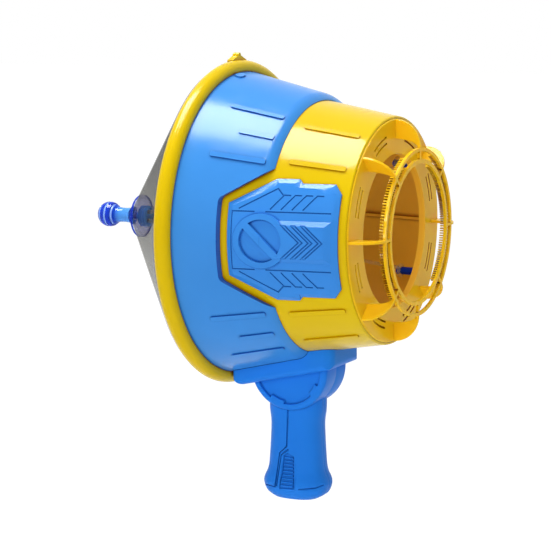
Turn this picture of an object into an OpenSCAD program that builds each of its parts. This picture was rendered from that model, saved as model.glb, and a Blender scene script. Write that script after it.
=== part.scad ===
// Hand-held air cannon for bubbles. The knob at the back draws a film into a cone, four elastic cords snap
// it forward, and the puff of air leaves through a soapy double ring on the muzzle.
// +X points to the muzzle and +Z up. The origin is the middle of the hand's hold on the grip.

/* [Drum] */
// Radius of the rim bead's core circle
rim_r = 119; // [105:0.5:135]
// Radius of the rim bead's round section
bead_r = 6.2; // [5.4:0.1:8]
// Wall of both drum shells
drum_wall = 2.4; // [1.8:0.1:3]
// Length of the rear shell ahead of the rim's core circle
rear_len = 73; // [68:0.5:84]
// Length of the rear shell's rounded front lip
lip_len = 8; // [6:0.5:11]
// Taper of the rear shell's side, degrees
rear_taper = 13.4; // [9:0.1:15]
// Taper of the front shell's side, degrees
front_taper = 10; // [6:0.1:12]
// Step from the rear shell's outside in to the front shell's, at the start of the lip
shell_step = 5; // [4.4:0.1:7]
// Length from the rim's core circle to the front shell's mouth
drum_len = 131; // [122:0.5:150]
// Wall inside the mouth that carries the pegs
mouth_wall = 2.4; // [1.8:0.1:3]

/* [Side windows and armour] */
// Distance from the rim's core circle to a window's back edge
window_at = 38.5; // [34:0.5:44]
// Half height of a window at its back edge
window_half = 30; // [24:0.5:34]
// Slope of a window's upper and lower edges
window_slope = 0.6; // [0.4:0.01:0.7]
// Radius of a window's round corners
window_corner = 5; // [3:0.5:9]
// Yellow margin between a window and its armour panel
armour_margin = 6; // [4:0.5:9]
// Length of an armour panel along the drum
armour_len = 81; // [72:0.5:88]
// Height of an armour panel's raised field over the front shell
armour_h = 3.6; // [2.8:0.1:4.5]
// Width of the sloped edge round an armour panel
armour_bevel = 4; // [2:0.1:5]
// Rise of that sloped edge
armour_rise = 2; // [1:0.1:2.6]
// Radius of the round boss on an armour panel
boss_r = 19.8; // [15:0.1:22]
// Width of a raised slat on the shells
slat_w = 4; // [3:0.1:6]
// Height of a raised slat over its shell
slat_h = 1.1; // [0.6:0.1:2]

/* [Pull knob and film] */
// Distance from the rim's core circle back to the saucer's edge, film drawn
draw = 87; // [75:0.5:100]
// Thickness of the film
film_t = 0.5; // [0.3:0.05:0.8]
// Radius of the knob's saucer
saucer_r = 16.8; // [14:0.1:20]
// Depth of the saucer's dish
saucer_dish = 5.6; // [4:0.1:7]
// Radius of the knob's ball
ball_r = 10; // [8.5:0.1:12]
// Radius of the knob's neck
neck_r = 6.2; // [5.4:0.1:7.5]
// Length of the knob from the dish's middle to its end
knob_len = 33.5; // [30:0.5:40]
// Radius of the plug on the inside of the film
plug_r = 8.4; // [7.6:0.1:10]
// Length of the plug ahead of the washer
plug_len = 8; // [7:0.5:12]
// Diameter of an elastic cord
cord_d = 3; // [2.4:0.1:3.4]
// Diameter of a cord peg
peg_d = 6; // [5:0.1:7]
// Length of a cord peg behind the mouth wall
peg_len = 16; // [13:0.5:22]

/* [Bubble wand] */
// Width of the collar's plate, from its outside in to the nozzle's bore
collar_w = 26; // [22:0.1:30]
// Thickness of the collar's plate
collar_t = 2.5; // [1.8:0.1:3.2]
// Distance from the collar's face to the front of the double ring
wand_reach = 20; // [18:0.1:28]
// Distance that the outer ring's outside stands out past the bore
ring_out = 5.1; // [2:0.1:8]
// Radial width of the outer ring
ring_w = 2.5; // [1.8:0.1:3]
// Gap between the two rings
ring_gap = 5.8; // [4:0.1:7]
// Radial width of the inner ring
inner_ring_w = 3; // [2.2:0.1:3.4]
// Depth of both rings along the barrel
ring_depth = 2.2; // [1.8:0.1:4]
// Length of a comb tooth behind a ring
tooth_len = 3; // [2:0.1:4.5]
// Angle from one comb tooth to the next, degrees
tooth_pitch = 2; // [2:0.5:5]
// Thickness of an arm
arm_t = 2; // [1.4:0.1:3]

/* [Handle] */
// Distance from the rim's core circle forward to the grip's centre line
grip_at = 51.5; // [46:0.5:56]
// Thickness of the saddle under the drum, on its centre line
saddle_t = 9.5; // [8:0.1:12]
// Width of the saddle
saddle_w = 54; // [50:0.5:64]
// Tilt of the saddle's underside, degrees
saddle_tilt = 13.4; // [12:0.1:15]
// Radius of the round knuckle on top of the grip
knuckle_r = 32.6; // [30:0.2:36]
// Width of the knuckle across its cheeks
knuckle_w = 38.4; // [37:0.2:44]
// Drop from the knuckle's centre to the middle of the hand's hold
grip_drop = 62; // [58:0.5:70]
// Drop from the middle of the hand's hold to the flat base
base_drop = 42; // [40:0.5:50]
// Depth of the grip at its waist, front to back
grip_depth = 41.4; // [38:0.2:47]
// Width of the grip at its waist
grip_w = 34; // [31:0.2:35]
// Swell of the grip's flared foot past the waist, each way front and back
foot_flare = 6.5; // [4:0.1:8]
// Wall of the handle's halves
grip_wall = 2.6; // [2:0.1:3.2]

/* [Hidden] */
$fn = 96;

blue = [0.29, 0.57, 0.87];
handle_blue = [0.21, 0.5, 0.84];
yellow = [0.96, 0.83, 0.05];
amber = [0.86, 0.64, 0.08];
clear_blue = [0.06, 0.22, 0.75];
film_grey = [0.62, 0.64, 0.66, 0.6];
cord_white = [0.9, 0.89, 0.84];
steel = [0.7, 0.7, 0.72];

fit = 0.2;          // gap between pieces that are fixed to each other
run = 0.35;         // gap between pieces that move on each other
snug = 0.05;        // gap round a screw, stud or tenon that holds in its hole
clear = 0.1;        // gap round a screw that passes through
eps = 0.01;

// Drum shells: radius of each shell's outside at a distance ahead of the rim's core circle
rear_inset = 3;
bead_front = 7;
lip_at = rear_len - lip_len;
function rear_r(s) = rim_r - rear_inset - tan(rear_taper) * (s - bead_front);
function front_r(s) = rear_r(lip_at) - shell_step - tan(front_taper) * (s - lip_at);
function rear_in(s) = rear_r(s) - drum_wall / cos(rear_taper);
function front_in(s) = front_r(s) - drum_wall / cos(front_taper);
flange_t = 2.4;
flange_r = rim_r + 0.6;
lip_edge = 0.4;
front_back = 20;
mouth_r = front_r(drum_len);
seat_at = drum_len - 1.5;
seat_rim = 1.6;
collar_r = mouth_r - seat_rim - fit;
bore_r = collar_r - collar_w;
wall_bore_r = bore_r + 2.3;
drum_r_at_grip = rear_r(grip_at);

// Armour panel and window, in side view: [height, distance ahead of the rim]
armour_at = window_at + armour_margin;
armour_end = armour_at + armour_len;
armour_half = window_half - armour_margin * 0.6;
armour_spread = 17.5;
armour_shoulder = armour_at + armour_spread / window_slope * 1.12;
armour_top = armour_half + armour_spread;
armour_step = 3;
armour_shoulder_len = 16;
armour_corner = 7;
groove_w = 0.9;
groove_d = 0.7;
block_half = 15;
block_h = 2.4;
block_slope = 4;
boss_at = armour_at + 26;
boss_rim = 4.2;
boss_h = 2.2;
bar_w = 5.2;
block_to = armour_end - armour_bevel;

// Pull knob
saucer_t = 1.8;
dish_at = -draw - saucer_dish;
knob_end = dish_at - knob_len;
ball_at = knob_end + ball_r * 0.8;
rib_groove_r = 1.1;
stud_r = 2.6;
stud_len = 16;
clamp_t = film_t + 2 * run;
washer_t = 1.3;
lobe_r = saucer_r / 2;

// Cords and pegs
peg_r = wall_bore_r + 3.7;
// Angles of the four cords, from the top towards the right side
cord_high = 43;
cord_low = 126;
cord_angles = [cord_high, cord_low, 360 - cord_low, 360 - cord_high];
peg_back = seat_at - mouth_wall - peg_len;
loop_at = peg_back + 3.4;
tenon_r = peg_d * 0.3;
cord_in_plug = 5;
plug_front = dish_at + clamp_t + saucer_t + washer_t + plug_len;
cord_from = plug_front - cord_in_plug;
cord_from_r = plug_r * 0.42;

// Wand
collar_front = seat_at + collar_t;
ring_r = bore_r + ring_out;
inner_ring_r = ring_r - ring_w - ring_gap;
lip_t = 1.6;
nozzle_back = seat_at - mouth_wall - 0.4;
arms = 8;
sector = 360 / arms;
arm_root = collar_r - 0.4;
arm_root_in = bore_r + (collar_r - bore_r) * 0.43;
ring_front = collar_front + wand_reach;
ring_back = ring_front - ring_depth;
slot_w = 1.5;
slot_gap = 4.6;
slot_half = 9;
comb_from = 25;
comb_to = 140;

// Handle
axis_height = grip_drop + 2.7 + drum_r_at_grip;
knuckle_z = grip_drop - 0.8;
saddle_from = bead_front + 0.6;
saddle_reach = 40.5;
saddle_to = grip_at + saddle_reach;
base_z = -base_drop;
foot_a = grip_depth / 2 + foot_flare;
foot_b = grip_w / 2 + foot_flare * 0.45;
screw_r = 1.5;
screw_head_r = 3;
screw_head_t = 1.8;
boss_wall = 2;
shell_screw_r = 1;
shell_screw_len = 9.4;
shell_head_t = 1.6;
shell_boss_r = 3;
knuckle_screw_drop = 18;
hold_screw_up = 6;
foot_screw_up = 14;
grip_screw_z = [knuckle_z - knuckle_screw_drop, hold_screw_up, base_z + foot_screw_up];
saddle_screw_back = 20;
saddle_screw_ahead = 6;
saddle_screw_at = [grip_at - saddle_screw_back, grip_at + saddle_screw_ahead];
saddle_screw_y = 12;
saddle_screw_len = 18;
head_room = 8;
head_seat = 9;
grip_screw_len = 17;

// Local frame of the drum: +Z ahead along the barrel, +X up, +Y to the right-hand side
module barrel() {
  translate([-grip_at, 0, axis_height]) rotate([0, 90, 0]) rotate(180) children();
}

// Extrudes an outline of [height, distance ahead] from the middle of the barrel out to one side
module to_side(side, depth) {
  mirror([0, side > 0 ? 1 : 0, 0]) rotate([90, 0, 0]) linear_extrude(depth) children();
}

module bar(w, length) {
  r = w * 0.3;
  translate([-w / 2 + r, 0]) square([w - 2 * r, length]);
  translate([-w / 2, r]) square([w, length - 2 * r]);
  for (side = [-1, 1], end = [r, length - r]) translate([side * (w / 2 - r), end]) circle(r, $fn = 32);
}

// A slat that lies along a cone's side from station s0 to s1, at an angle from the top
module slat(angle, r0, s0, s1, taper, w = slat_w, h = slat_h) {
  root = drum_wall / 2;
  rotate(angle) translate([r0, 0, s0]) rotate([0, -taper, 0]) translate([-root, 0, 0])
    rotate([90, 0, 90]) linear_extrude(root + h) bar(w, (s1 - s0) / cos(taper));
}

// Points of a circular arc in an outline
function arc(cx, cy, r, a0, a1, n) = [for (i = [0:n]) let (a = a0 + (a1 - a0) * i / n)
  [cx + r * cos(a), cy + r * sin(a)]];

// Outside of the rear shell's front lip: an arc that leaves the cone along its side
lip_drop = rear_r(lip_at) - front_r(rear_len) - fit - lip_edge;
lip_chord = atan(lip_drop / lip_len);
lip_arc_r = norm([lip_len, lip_drop]) / (2 * sin(lip_chord - rear_taper));
function lip_point(t) = let (a = rear_taper + 2 * (lip_chord - rear_taper) * t)
  [rear_r(lip_at) + lip_arc_r * (cos(a) - cos(rear_taper)), lip_at + lip_arc_r * (sin(a) - sin(rear_taper))];

module rear_profile() {
  polygon(concat(
    [[rear_in(0), -flange_t / 2], [flange_r, -flange_t / 2], [flange_r, flange_t / 2],
      [rear_r(flange_t / 2), flange_t / 2]],
    [for (i = [0:8]) lip_point(i / 8)],
    [[front_r(rear_len) + fit, rear_len], [rear_in(lip_at), lip_at]]));
}

// Side outline of a window, grown by a margin: round corners behind and sloping edges that run out in front
function window_points(grow) = let (
    r = window_corner + grow, edge = norm([1, window_slope]),
    corner = window_half + grow - r * (edge - window_slope),
    upper = concat(arc(corner, window_at - grow + r, r, -90, -atan(window_slope), 6),
      [[window_half + grow + window_slope * (drum_len - window_at + grow), drum_len]]))
  concat(upper, [for (i = [len(upper) - 1:-1:0]) [-upper[i][0], upper[i][1]]]);

// Walls that turn in from the window's edges down to the front shell
module window_frame() {
  frame_t = drum_wall;
  intersection() {
    for (side = [-1, 1]) to_side(side, rim_r) polygon(window_points(frame_t));
    rotate_extrude() polygon([
      [front_r(window_at - 2 * frame_t) + fit, window_at - 2 * frame_t],
      [rear_r(window_at - 2 * frame_t) - fit, window_at - 2 * frame_t],
      [rear_r(lip_at) - fit, lip_at],
      [front_r(rear_len) + fit + lip_edge / 2, rear_len - fit],
      [front_r(rear_len) + fit, rear_len - fit]]);
  }
}

// Two long slats and a short one on each side of the top and of the bottom, at angles from there
module rear_slats() {
  long_from = rear_len - 47;
  short_from = rear_len - 32;
  to = lip_at + lip_len / 4;
  for (half = [0, 180], side = [-1, 1]) {
    for (a = [33, 57]) slat(half + side * a, rear_r(long_from), long_from, to, rear_taper);
    slat(half + side * 45, rear_r(short_from), short_from, to, rear_taper);
  }
}

module shell_screw_places() {
  for (a = [45:90:315]) rotate(a) translate([(front_r(front_back) + rear_in(front_back)) / 2, 0, 0])
    children();
}

module rear_shell() {
  boss_len = 10;
  boss_to = front_back + 2 * boss_len;
  tab_at = bead_front + 0.8;
  tab_len = 6;
  tab_w = 10;
  tab_h = 1.2;
  tab_angle = 9;
  color(blue) barrel() difference() {
    union() {
      rotate_extrude() rear_profile();
      window_frame();
      rear_slats();
      slat(tab_angle, rear_r(tab_at), tab_at, tab_at + tab_len, rear_taper, tab_w, tab_h);
      intersection() {
        shell_screw_places() translate([0, 0, front_back + flange_t + eps])
          cylinder(boss_len, r = shell_boss_r);
        rotate_extrude() polygon([
          [front_r(front_back) + fit, front_back], [rear_in(front_back) + drum_wall / 2, front_back],
          [rear_in(boss_to) + drum_wall / 2, boss_to], [front_r(boss_to) + fit, boss_to]]);
      }
    }
    for (side = [-1, 1]) to_side(side, rim_r * 2) polygon(window_points(0));
    shell_screw_places() translate([0, 0, front_back])
      cylinder(flange_t + boss_len - 1, r = shell_screw_r + snug, $fn = 24);
    saddle_screw_holes();
  }
}

// Clear holes for the saddle's screws, with a flat seat let into the drum's wall for each head
module saddle_screw_holes() {
  for (s = saddle_screw_at, side = [-1, 1]) {
    seat = saddle_seat(s);
    translate([0, side * saddle_screw_y, s]) rotate([0, -90, 0]) {
      translate([0, 0, seat - eps]) cylinder(saddle_w, r = screw_r + clear, $fn = 32);
      translate([0, 0, seat - head_room]) cylinder(head_room, r = screw_head_r + fit, $fn = 32);
    }
  }
}

// Depth below the barrel's axis of a saddle screw's seat, halfway through the drum's wall
function saddle_seat(s) = sqrt(pow(rear_r(s), 2) - pow(saddle_screw_y, 2)) - drum_wall * 0.55;

module front_profile() {
  edge_r = 1.5;
  polygon(concat(
    [[front_in(front_back), front_back], [rear_in(front_back) - fit, front_back],
      [rear_in(front_back + flange_t) - fit, front_back + flange_t],
      [front_r(front_back + flange_t), front_back + flange_t]],
    arc(front_r(drum_len - edge_r) - edge_r, drum_len - edge_r, edge_r, front_taper, 90, 8),
    [[mouth_r - seat_rim, drum_len], [mouth_r - seat_rim, seat_at], [wall_bore_r, seat_at],
      [wall_bore_r, seat_at - mouth_wall], [front_in(seat_at - mouth_wall), seat_at - mouth_wall]]));
}

module front_shell() {
  rib_w = 2;
  rib_h = 4;
  color(yellow) barrel() difference() {
    union() {
      rotate_extrude() front_profile();
      for (half = [0, 180], side = [-1, 1], a = [33, 54])
        slat(half + side * a, front_r(rear_len + 9), rear_len + 9, drum_len - 7, front_taper);
      for (a = [0:90:270]) rotate(a) intersection() {
        translate([front_in(drum_len) - rib_h, -rib_w / 2, lip_at])
          cube([rim_r, rib_w, seat_at - mouth_wall / 2 - lip_at]);
        rotate_extrude() polygon([
          [front_in(lip_at) - rib_h, lip_at], [front_in(lip_at) + 1, lip_at],
          [front_in(seat_at) + 1, seat_at], [front_in(seat_at) - rib_h, seat_at]]);
      }
    }
    shell_screw_places() translate([0, 0, front_back - eps])
      cylinder(flange_t + 2 * eps, r = shell_screw_r + 4 * clear, $fn = 24);
    peg_places() translate([0, 0, seat_at - mouth_wall - eps])
      cylinder(mouth_wall + 2 * eps, r = tenon_r + snug, $fn = 32);
  }
}

module shell_screws() {
  color(steel) barrel() shell_screw_places() {
    translate([0, 0, front_back - shell_head_t]) cylinder(shell_head_t, r = 2.2 * shell_screw_r, $fn = 32);
    translate([0, 0, front_back - eps]) cylinder(shell_screw_len, r = shell_screw_r, $fn = 24);
  }
}

// Round bead with a channel for the shell's flange, and a groove in its back for the film's edge
module rim_section() {
  inside = rim_r - bead_r * 2;
  back = -flange_t / 2 - fit;
  front = flange_t / 2 + fit;
  groove = film_t + 2 * fit;
  difference() {
    translate([rim_r, 0]) circle(bead_r);
    translate([film_hold_r - groove / 2, -2 * bead_r]) square([groove, 2 * bead_r + film_end + fit]);
    polygon([[inside, back], [flange_r + fit, back], [flange_r + fit, front],
      [rear_r(flange_t / 2) + fit, front], [rear_r(bead_r * 2) + fit, bead_r * 2], [inside, bead_r * 2]]);
  }
}

// Peaked sight on top of the bead, with hollow flanks
module sight() {
  sight_w = 22;
  sight_h = 5.6;
  sight_t = 5;
  root = 2;
  tip = 2.2;
  hollow_r = 12;
  translate([rim_r + bead_r - root, 0, 0.6 - sight_t]) linear_extrude(sight_t) {
    difference() {
      polygon([[0, -sight_w / 2], [root, -sight_w / 2], [sight_h + root - tip, -tip],
        [sight_h + root - tip, tip], [root, sight_w / 2], [0, sight_w / 2]]);
      for (side = [-1, 1]) translate([root + hollow_r - 0.4, side * (hollow_r + tip)])
        circle(hollow_r, $fn = 64);
    }
    translate([sight_h + root - tip, 0]) circle(tip, $fn = 32);
  }
}

module rim_ring() {
  color(yellow) barrel() {
    rotate_extrude() rim_section();
    sight();
  }
}

// The film's middle surface: distance ahead of the rim, at a radius inside the saucer
function dish(r) = -draw - saucer_dish * (1 - r / saucer_r);
film_hold_r = rim_r + 3.2;
film_end = -1.4;
film_off = bead_r + snug + film_t;
film_lean = atan2(rim_r - saucer_r, draw) + asin(film_off / norm([draw, rim_r - saucer_r]));
film_bend = -draw + (film_hold_r - saucer_r) / tan(film_lean);
film_along = film_t / sin(film_lean);

// Dish under the saucer, cone that runs off the bead's back, and an edge that turns into the bead's groove
module membrane() {
  hole_r = stud_r + run;
  edge = film_t / 2;
  color(film_grey) barrel() rotate_extrude() polygon([
    [hole_r, dish(hole_r)], [saucer_r, -draw], [film_hold_r + edge, film_bend - edge],
    [film_hold_r + edge, film_end], [film_hold_r - edge, film_end], [film_hold_r - edge, film_bend + edge],
    [saucer_r, -draw + film_along], [hole_r, dish(hole_r) + film_along]]);
}

// Ribbed ball, waisted neck and dished saucer, with a blind bore for the plug's stud
module pull_knob() {
  neck_at = dish_at - run - saucer_t;
  flare = 3;
  waist = 0.5;
  ball_top = ball_at + sqrt(pow(ball_r, 2) - pow(neck_r, 2));
  neck_len = neck_at - flare - ball_top;
  color(clear_blue) barrel() difference() {
    rotate_extrude() difference() {
      polygon(concat(
        [[0, knob_end], [ball_r * 0.5, knob_end]],
        arc(0, ball_at, ball_r, -50, asin((ball_top - ball_at) / ball_r), 16),
        [for (i = [1:8]) [neck_r - waist * sin(180 * i / 8), ball_top + neck_len * i / 8]],
        [[neck_r + 2.2, neck_at - 0.6], [saucer_r, dish(saucer_r) - run - saucer_t],
          [saucer_r, dish(saucer_r) - run], [0, dish(0) - run]]));
      for (i = [-1:1]) let (s = ball_at + i * ball_r * 0.52)
        translate([sqrt(pow(ball_r, 2) - pow(s - ball_at, 2)) + 0.2, s]) circle(rib_groove_r, $fn = 32);
    }
    translate([0, 0, dish_at - stud_len]) cylinder(stud_len + saucer_dish, r = stud_r + snug, $fn = 48);
  }
}

module film_washer() {
  back = film_along + run;
  hole_r = stud_r + fit;
  color(clear_blue) barrel() intersection() {
    rotate_extrude() polygon([
      [hole_r, dish(hole_r) + back], [saucer_r + 1, dish(saucer_r + 1) + back],
      [saucer_r + 1, dish(saucer_r + 1) + back + washer_t], [hole_r, dish(hole_r) + back + washer_t]]);
    translate([0, 0, dish_at - 5]) linear_extrude(saucer_dish + 20) {
      for (a = [0:90:270]) rotate(a) translate([saucer_r - lobe_r, 0]) circle(lobe_r);
      circle(lobe_r);
    }
  }
}

module cord_rod(from_s, from_r, to_s, to_r, r) {
  lean = atan((to_r - from_r) / (to_s - from_s));
  translate([from_r, 0, from_s]) rotate([0, lean, 0])
    cylinder(norm([to_s - from_s, to_r - from_r]), r = r, $fn = 32);
}

// Ribbed plug with a stud for the knob and a slanting socket for each cord
module knob_plug() {
  plug_back = dish(plug_r) + film_along + run + washer_t + fit / 2;
  stud_end = dish_at - stud_len + 1;
  rib = plug_len / 3;
  corner = 1.5;
  color(clear_blue) barrel() difference() {
    rotate_extrude() difference() {
      polygon([[0, stud_end], [stud_r, stud_end], [stud_r, plug_back], [plug_r, plug_back],
        [plug_r, plug_front - corner], [plug_r - corner, plug_front], [0, plug_front]]);
      for (i = [1:2]) translate([plug_r, plug_back + rib * i - 1]) circle(0.7, $fn = 32);
    }
    for (i = [0:3]) rotate(cord_angles[i])
      cord_rod(cord_from - run, cord_from_r, loop_at, peg_r - peg_d / 2, cord_d / 2 + run);
  }
}

module cord(i) {
  loop_r = peg_d / 2 + cord_d / 2 - 0.6;
  color(cord_white) barrel() rotate(cord_angles[i]) {
    cord_rod(cord_from, cord_from_r, loop_at, peg_r - loop_r - 2 * fit, cord_d / 2);
    translate([peg_r, 0, loop_at]) rotate_extrude() translate([loop_r + fit, 0])
      circle(cord_d / 2, $fn = 32);
  }
}
module elastic_cord_1() { cord(0); }
module elastic_cord_2() { cord(1); }
module elastic_cord_3() { cord(2); }
module elastic_cord_4() { cord(3); }

module peg_places() {
  for (i = [0:3]) rotate(cord_angles[i]) translate([peg_r, 0, 0]) children();
}

// Peg with a rounded end, a neck for the cord's loop and a tenon in the mouth wall
module peg(i) {
  r = peg_d / 2;
  neck = cord_d / 2 + fit;
  color(clear_blue) barrel() rotate(cord_angles[i]) translate([peg_r, 0, 0]) rotate_extrude() difference() {
    polygon([[0, peg_back], [r - 0.8, peg_back], [r, peg_back + 0.8], [r, seat_at - mouth_wall],
      [tenon_r, seat_at - mouth_wall], [tenon_r, seat_at - fit], [0, seat_at - fit]]);
    translate([r + cord_d / 2 - 0.4, loop_at]) circle(neck, $fn = 32);
  }
}
module cord_peg_1() { peg(0); }
module cord_peg_2() { peg(1); }
module cord_peg_3() { peg(2); }
module cord_peg_4() { peg(3); }

// Ring plate with pairs of arc slots, a nozzle lip and a rounded rim
module wand_collar() {
  mid = (bore_r + collar_r) / 2;
  edge_r = 1;
  color(amber) barrel() difference() {
    rotate_extrude() polygon(concat(
      [[bore_r, nozzle_back], [bore_r + lip_t, nozzle_back], [bore_r + lip_t, seat_at],
        [collar_r, seat_at]],
      arc(collar_r - edge_r, collar_front - edge_r, edge_r, 0, 90, 6),
      [[bore_r, collar_front]]));
    for (i = [0:arms - 1], track = [-1, 1]) rotate(sector * (i + 0.5) - slot_half)
      translate([0, 0, seat_at - eps]) rotate_extrude(angle = 2 * slot_half)
        translate([mid + track * slot_gap / 2 - slot_w / 2, 0]) square([slot_w, collar_t + 2 * eps]);
  }
}

// Arm between two quarter ellipses, from the collar's face out to the double ring
module wand_arms() {
  steps = 14;
  reach = ring_front - collar_front;
  under = ring_back - collar_front;
  color(amber) barrel() for (i = [0:arms - 1]) rotate(sector * i)
    translate([0, arm_t / 2, 0]) rotate([90, 0, 0]) linear_extrude(arm_t) polygon(concat(
      [for (k = [0:steps]) let (a = 90 * k / steps)
        [ring_r + (arm_root - ring_r) * cos(a), collar_front + reach * sin(a)]],
      [for (k = [steps:-1:0]) let (a = 90 * k / steps)
        [ring_r + (arm_root_in - ring_r) * cos(a), collar_front + under * sin(a)]]));
}

// Teeth of one comb, in the plane across the barrel
module comb(r_out, w) {
  teeth = floor((comb_to - comb_from) / tooth_pitch);
  tooth_w = r_out * tooth_pitch * PI / 180 * 0.55;
  for (side = [-1, 1], k = [0:teeth]) rotate(side * (comb_from + k * tooth_pitch))
    translate([r_out - w, -tooth_w / 2]) square([w * 0.97, tooth_w]);
}

module wand_ring() {
  color(amber) barrel() {
    for (band = [[ring_r, ring_w], [inner_ring_r, inner_ring_w]]) {
      translate([0, 0, ring_back]) rotate_extrude()
        translate([band[0] - band[1], 0]) square([band[1], ring_depth]);
      translate([0, 0, ring_back - tooth_len]) linear_extrude(tooth_len) comb(band[0], band[1]);
    }
    for (i = [0:arms - 1]) rotate(sector * i)
      translate([inner_ring_r - inner_ring_w / 2, -arm_t / 2, ring_back])
        cube([ring_r - ring_w / 2 - inner_ring_r + inner_ring_w / 2, arm_t, ring_depth]);
  }
}

// Upper half of an armour panel's side outline, from its back end to its front end, and the whole outline
armour_deck = armour_top - armour_step;
step_at = armour_shoulder + armour_shoulder_len;
armour_upper = [[armour_half, armour_at], [armour_top, armour_shoulder], [armour_top, step_at],
  [armour_deck, step_at + armour_step], [armour_deck, armour_end - armour_corner * 0.8],
  [armour_deck - armour_corner, armour_end]];
function mirrored(p) = [-p[0], p[1]];
armour_outline = concat(armour_upper,
  [for (i = [len(armour_upper) - 1:-1:0]) mirrored(armour_upper[i])]);

// Ring of space that lies between two heights over the front shell
module over_front(h0, h1) {
  rotate_extrude() polygon([
    [front_r(armour_at - 8) + h0, armour_at - 8], [front_r(armour_at - 8) + h1, armour_at - 8],
    [front_r(drum_len) + h1, drum_len], [front_r(drum_len) + h0, drum_len]]);
}

// Point at a height over the front shell, from its place in side view
function on_front(p, h) = let (r = front_r(p[1]) + h) [p[0], sqrt(r * r - p[0] * p[0]), p[1]];

// Removes what lies over a slope that rises inward from one side of an outline, over a width w
module slope_cut(a, b, h0, h1, w, past = 0) {
  far = rim_r;
  pa = on_front(a, h0);
  pb = on_front(b, h0);
  span = norm(pb - pa);
  along = (pb - pa) / span;
  mid = (pa + pb) / 2;
  mid_r = norm([mid[0], mid[1]]);
  out = [mid[0], mid[1], tan(front_taper) * mid_r] / mid_r * cos(front_taper);
  rise = cross(along, out) * w + out * (h1 - h0);
  up = cross(rise, along) / norm(cross(rise, along));
  across = cross(up, along);
  multmatrix([for (i = [0:2]) [along[i], across[i], up[i], pa[i]]])
    translate([-past, -far, 0]) cube([span + 2 * past, 2 * far, far]);
}

// Removes what lies over a slope that rises from an end of a panel, ahead if w is positive
module end_cut(end, h0, h1, w) {
  over = armour_h * 3;
  rotate_extrude() polygon([
    [front_r(end) + h0, end], [front_r(end + w) + h1, end + w], [front_r(end + w) + over, end + w],
    [front_r(end - w) + over, end - w], [front_r(end - w) + h0, end - w]]);
}

module stroke(a, b) {
  d = b - a;
  translate(a) rotate(atan2(d[1], d[0])) translate([-groove_w / 2, -groove_w / 2])
    square([norm(d) + groove_w, groove_w]);
}

// Moulded lines of the panel: wing strokes with their hooks, long lines and a frame at the back
module armour_lines() {
  line = block_half + 6;
  back = armour_at + armour_bevel;
  front = armour_end - armour_bevel;
  root = line + 2;
  wing_top = armour_top - 11;
  wing_pitch = 8;
  wing_lean = 9;
  hook = 4.4;
  peak = [armour_top - 6.5, armour_shoulder + 3];
  for (up = [-1, 1]) {
    for (k = [0:3]) let (s = front - 12 - (3 - k) * wing_pitch)
      polyline([[up * root, s - wing_lean], [up * wing_top, s], [up * wing_top, s + hook]]);
    stroke([up * line, boss_at + 3], [up * line, front - 1]);
    stroke([up * line, back], [up * line, boss_at - 6]);
    polyline([[up * root, back + 5], [up * peak[0], peak[1]], [up * (peak[0] - 4.5), peak[1] + 4.5]]);
  }
  stroke([-line, back], [line, back]);
}

// Outline of a chevron strip that points ahead, in side view
module chevron(tip, w) {
  arm = 12;
  lean = 1.1;
  tail = tip - arm * lean;
  polyline([[arm, tail - w], [arm, tail], [0, tip], [-arm, tail], [-arm, tail - w], [0, tip - w],
    [arm, tail - w]]);
}

// Flat field of a panel, with a slope all round. Each slope's foot lies a little over the last one's, so that
// no two of them meet a corner of the outline in one point
module armour_field() {
  low = armour_h - armour_rise;
  foot_step = 0.07;
  difference() {
    intersection() {
      over_front(fit, armour_h);
      to_side(1, rim_r) polygon(armour_outline);
    }
    for (i = [0:len(armour_upper) - 2]) let (a = armour_upper[i], b = armour_upper[i + 1]) {
      past = i == 2 || i == 3 ? armour_bevel * 0.4 : 0;
      foot = low + foot_step * i;
      slope_cut(a, b, foot, armour_h, armour_bevel, past);
      slope_cut(mirrored(b), mirrored(a), foot, armour_h, armour_bevel, past);
    }
    end_cut(armour_at, low, armour_h, armour_bevel);
    end_cut(armour_end, low, armour_h, -armour_bevel);
  }
}

// Raised block ahead of the boss, with sloped sides and a sloped front end
module armour_block() {
  top = armour_h + block_h;
  difference() {
    intersection() {
      over_front(fit, top);
      to_side(1, rim_r) translate([-block_half, boss_at]) square([2 * block_half, block_to - boss_at]);
    }
    slope_cut([block_half, boss_at], [block_half, block_to], armour_h, top, block_slope);
    slope_cut([-block_half, block_to], [-block_half, boss_at], armour_h, top, block_slope);
    end_cut(block_to, armour_h, top, -block_slope);
  }
}

// Space that the boss's dish takes out, on both sides of the bar across it
module armour_dish() {
  difference() {
    circle(boss_r - boss_rim);
    rotate(45) square([bar_w, boss_r * 2], center = true);
  }
}

module badge(side) {
  top = armour_h + block_h;
  chevron_w = 2.8;
  chevron_pitch = 7.2;
  color(blue) barrel() mirror([0, side > 0 ? 0 : 1, 0]) difference() {
    union() {
      armour_field();
      armour_block();
      intersection() {
        over_front(fit, armour_h + boss_h);
        to_side(1, rim_r) translate([0, boss_at]) circle(boss_r);
      }
    }
    intersection() {
      over_front(armour_h - groove_d, armour_h + block_h + boss_h);
      to_side(1, rim_r) translate([0, boss_at]) armour_dish();
    }
    intersection() {
      over_front(armour_h - groove_d, armour_h + groove_d);
      to_side(1, rim_r) difference() {
        armour_lines();
        translate([0, boss_at]) circle(boss_r);
      }
    }
    intersection() {
      over_front(top - groove_d, top + groove_d);
      to_side(1, rim_r) for (k = [0:2]) chevron(block_to - block_slope - 1 - k * chevron_pitch, chevron_w);
    }
  }
}
module badge_right() { badge(1); }
module badge_left() { badge(-1); }

// Height of the saddle's underside at a distance ahead of the rim, in the drum's own frame
function underside(s) = -(drum_r_at_grip + saddle_t) + tan(saddle_tilt) * (s - grip_at);

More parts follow.
